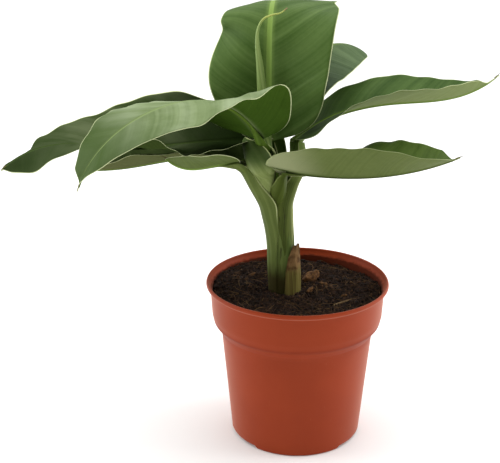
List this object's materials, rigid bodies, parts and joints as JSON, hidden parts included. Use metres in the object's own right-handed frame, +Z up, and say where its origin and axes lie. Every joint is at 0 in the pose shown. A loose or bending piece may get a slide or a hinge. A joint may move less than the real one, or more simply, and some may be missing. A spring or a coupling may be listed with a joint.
{
  "type": "banana plant",
  "caption": "Young potted banana plant: leaf sheaths rolled into a short stem, broad arching leaves on channelled stalks, a rolled spear leaf, in a round plastic pot with soil.",
  "frame": {"origin": "centre of the pot's flat underside", "axes": "+Z up; +X to the right of the plant's front, along the crown's widest spread; +Y to the plant's rear"},
  "size_m": [0.3376, 0.2154, 0.3115],
  "materials": {
    "pot": "satin terracotta-coloured plastic",
    "soil": "moist dark peat, coir and bark, loose",
    "stem": "smooth satin leaf sheaths",
    "old_sheath": "dry, striped, browned at the top",
    "stalk": "smooth satin",
    "spear": "smooth, pale",
    "leaf": "waxy satin with fine veins"
  },
  "bodies": {
    "root": {"pot": "pot", "soil": "soil", "pseudostem": "stem", "old_sheath": "old_sheath", "stalk_small_left": "stalk", "stalk_far_left": "stalk", "stalk_back_right": "stalk", "stalk_front_right": "stalk", "stalk_front_left": "stalk", "stalk_upright": "stalk", "stalk_rear": "stalk", "stalk_low_left": "stalk", "spear_leaf": "spear", "leaf_small_left": "leaf", "leaf_far_left": "leaf", "leaf_back_right": "leaf", "leaf_front_right": "leaf", "leaf_front_left_rising": "leaf", "leaf_front_left_falling": "leaf", "leaf_upright_rising": "leaf", "leaf_upright_falling": "leaf", "leaf_rear_rising": "leaf", "leaf_rear_falling": "leaf", "leaf_low_left": "leaf"}
  },
  "joints": []
}
